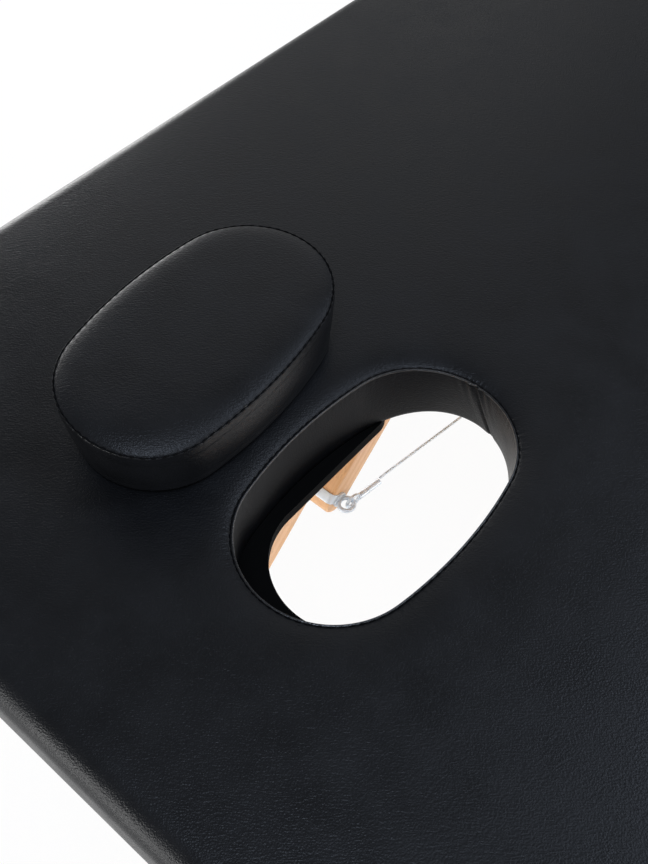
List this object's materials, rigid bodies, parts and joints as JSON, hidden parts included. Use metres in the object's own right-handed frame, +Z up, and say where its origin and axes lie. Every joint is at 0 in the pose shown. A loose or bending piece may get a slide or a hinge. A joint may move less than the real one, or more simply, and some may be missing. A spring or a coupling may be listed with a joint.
{
  "type": "folding massage table",
  "caption": "Folding massage table with a black padded top, an oval face hole and its loose plug cushion, beech legs on knuckle braces, and crossed steel cables.",
  "frame": {"origin": "on the floor, under the middle of the unfolded table", "axes": "+X along the length towards the foot end, +Y across the table, +Z up"},
  "size_m": [1.86, 0.7, 0.6704],
  "materials": {
    "leather": "fine-grained black artificial leather, satin",
    "foam": "open-cell upholstery foam",
    "plywood": "birch plywood, unfinished",
    "stop_board": "plywood painted matt black",
    "beech": "beech, clear satin lacquer",
    "steel": "zinc-plated steel",
    "cable": "stranded galvanised steel wire",
    "socket_plastic": "moulded black plastic",
    "knob_plastic": "moulded black plastic, fine texture",
    "strap": "black strap, stitched",
    "rubber": "black rubber"
  },
  "bodies": {
    "head_half": {"head_cover": "leather", "head_foam": "foam", "hole_liner": "leather", "head_deck": "plywood", "plug_ledge": "stop_board", "head_side_rails": "beech", "head_end_rail": "beech", "head_cross_rails": "beech", "head_pivot_blocks": "beech", "head_frame_pivots": "steel", "headrest_sockets": "socket_plastic", "head_hinge_leaves": "steel", "hinge_pins": "steel", "latch_plates": "steel", "head_handle": "strap", "head_cables": "cable"},
    "foot_half": {"foot_cover": "leather", "foot_foam": "foam", "foot_deck": "plywood", "foot_side_rails": "beech", "foot_end_rail": "beech", "foot_cross_rails": "beech", "foot_pivot_blocks": "beech", "foot_frame_pivots": "steel", "foot_hinge_leaves": "steel", "latch_keepers": "steel", "foot_handle": "strap", "foot_cables": "cable"},
    "plug": {"plug_cover": "leather", "plug_foam": "foam"},
    "latch_hook_inner": {"latch_hook_inner": "steel"},
    "latch_hook_outer": {"latch_hook_outer": "steel"},
    "head_legs": {"head_leg_frame": "beech", "head_leg_hardware": "steel"},
    "head_upper_brace_pair": {"head_upper_braces": "beech", "head_cable_eyes": "steel"},
    "head_lower_brace_pair": {"head_lower_braces": "beech", "head_knuckle_bolts": "steel"},
    "head_extension_left": {"head_extension_left": "beech", "head_foot_left": "rubber"},
    "head_knob_left_upper": {"head_knob_left_upper": "knob_plastic"},
    "head_knob_left_lower": {"head_knob_left_lower": "knob_plastic"},
    "head_extension_right": {"head_extension_right": "beech", "head_foot_right": "rubber"},
    "head_knob_right_upper": {"head_knob_right_upper": "knob_plastic"},
    "head_knob_right_lower": {"head_knob_right_lower": "knob_plastic"},
    "foot_legs": {"foot_leg_frame": "beech", "foot_leg_hardware": "steel"},
    "foot_upper_brace_pair": {"foot_upper_braces": "beech", "foot_cable_eyes": "steel"},
    "foot_lower_brace_pair": {"foot_lower_braces": "beech", "foot_knuckle_bolts": "steel"},
    "foot_extension_left": {"foot_extension_left": "beech", "foot_foot_left": "rubber"},
    "foot_knob_left_upper": {"foot_knob_left_upper": "knob_plastic"},
    "foot_knob_left_lower": {"foot_knob_left_lower": "knob_plastic"},
    "foot_extension_right": {"foot_extension_right": "beech", "foot_foot_right": "rubber"},
    "foot_knob_right_upper": {"foot_knob_right_upper": "knob_plastic"},
    "foot_knob_right_lower": {"foot_knob_right_lower": "knob_plastic"}
  },
  "joints": [
    {"name": "centre_fold", "type": "hinge", "parent": "head_half", "child": "foot_half", "pos_m": [0, 0, 0.5077], "axis": [0, 1, 0], "range_deg": [0, 180], "deforming": ["head_cables", "foot_cables"]},
    {"name": "head_leg_fold", "type": "hinge", "parent": "head_half", "child": "head_legs", "pos_m": [-0.733, 0, 0.537], "axis": [0, -1, 0], "range_deg": [0, 101]},
    {"name": "head_upper_brace_fold", "type": "hinge", "parent": "head_half", "child": "head_upper_brace_pair", "pos_m": [-0.468, 0, 0.537], "axis": [0, 1, 0], "range_deg": [0, 43.94]},
    {"name": "head_lower_brace_fold", "type": "hinge", "parent": "head_legs", "child": "head_lower_brace_pair", "pos_m": [-0.79406, 0, 0.22288], "axis": [0, -1, 0], "range_deg": [0, 35.08]},
    {"name": "head_extension_left_slide", "type": "slide", "parent": "head_legs", "child": "head_extension_left", "axis": [-0.1908, 0, -0.9816], "range_m": [0, 0.15]},
    {"name": "head_knob_left_upper_turn", "type": "hinge", "parent": "head_legs", "child": "head_knob_left_upper", "pos_m": [-0.77784, 0.25, 0.30632], "axis": [0, -1, 0], "continuous": true},
    {"name": "head_knob_left_lower_turn", "type": "hinge", "parent": "head_legs", "child": "head_knob_left_lower", "pos_m": [-0.79024, 0.25, 0.24251], "axis": [0, -1, 0], "continuous": true},
    {"name": "head_extension_right_slide", "type": "slide", "parent": "head_legs", "child": "head_extension_right", "axis": [-0.1908, 0, -0.9816], "range_m": [0, 0.15]},
    {"name": "head_knob_right_upper_turn", "type": "hinge", "parent": "head_legs", "child": "head_knob_right_upper", "pos_m": [-0.77784, -0.25, 0.30632], "axis": [0, 1, 0], "continuous": true},
    {"name": "head_knob_right_lower_turn", "type": "hinge", "parent": "head_legs", "child": "head_knob_right_lower", "pos_m": [-0.79024, -0.25, 0.24251], "axis": [0, 1, 0], "continuous": true},
    {"name": "foot_leg_fold", "type": "hinge", "parent": "foot_half", "child": "foot_legs", "pos_m": [0.733, 0, 0.537], "axis": [0, 1, 0], "range_deg": [0, 101]},
    {"name": "foot_upper_brace_fold", "type": "hinge", "parent": "foot_half", "child": "foot_upper_brace_pair", "pos_m": [0.468, 0, 0.537], "axis": [0, -1, 0], "range_deg": [0, 43.94]},
    {"name": "foot_lower_brace_fold", "type": "hinge", "parent": "foot_legs", "child": "foot_lower_brace_pair", "pos_m": [0.79406, 0, 0.22288], "axis": [0, 1, 0], "range_deg": [0, 35.08]},
    {"name": "foot_extension_left_slide", "type": "slide", "parent": "foot_legs", "child": "foot_extension_left", "axis": [0.1908, 0, -0.9816], "range_m": [0, 0.15]},
    {"name": "foot_knob_left_upper_turn", "type": "hinge", "parent": "foot_legs", "child": "foot_knob_left_upper", "pos_m": [0.77784, 0.25, 0.30632], "axis": [0, -1, 0], "continuous": true},
    {"name": "foot_knob_left_lower_turn", "type": "hinge", "parent": "foot_legs", "child": "foot_knob_left_lower", "pos_m": [0.79024, 0.25, 0.24251], "axis": [0, -1, 0], "continuous": true},
    {"name": "foot_extension_right_slide", "type": "slide", "parent": "foot_legs", "child": "foot_extension_right", "axis": [0.1908, 0, -0.9816], "range_m": [0, 0.15]},
    {"name": "foot_knob_right_upper_turn", "type": "hinge", "parent": "foot_legs", "child": "foot_knob_right_upper", "pos_m": [0.77784, -0.25, 0.30632], "axis": [0, 1, 0], "continuous": true},
    {"name": "foot_knob_right_lower_turn", "type": "hinge", "parent": "foot_legs", "child": "foot_knob_right_lower", "pos_m": [0.79024, -0.25, 0.24251], "axis": [0, 1, 0], "continuous": true},
    {"name": "latch_hook_inner_swing", "type": "hinge", "parent": "head_half", "child": "latch_hook_inner", "pos_m": [-0.25, -0.336, 0.535], "axis": [0, 1, 0], "range_deg": [0, 90]},
    {"name": "latch_hook_outer_swing", "type": "hinge", "parent": "head_half", "child": "latch_hook_outer", "pos_m": [-0.68, -0.336, 0.535], "axis": [0, 1, 0], "range_deg": [0, 90]},
    {"name": "plug_lift", "type": "slide", "parent": "head_half", "child": "plug", "axis": [0, 0, 1], "range_m": [0, 0.15]}
  ],
  "couplings": [
    {"joint": "head_leg_fold", "follows": "centre_fold", "ratio": 0.56111},
    {"joint": "head_upper_brace_fold", "follows": "centre_fold", "ratio": 0.24406},
    {"joint": "head_lower_brace_fold", "follows": "centre_fold", "ratio": 0.19482},
    {"joint": "foot_leg_fold", "follows": "centre_fold", "ratio": 0.56111},
    {"joint": "foot_upper_brace_fold", "follows": "centre_fold", "ratio": 0.24406},
    {"joint": "foot_lower_brace_fold", "follows": "centre_fold", "ratio": 0.19482}
  ]
}
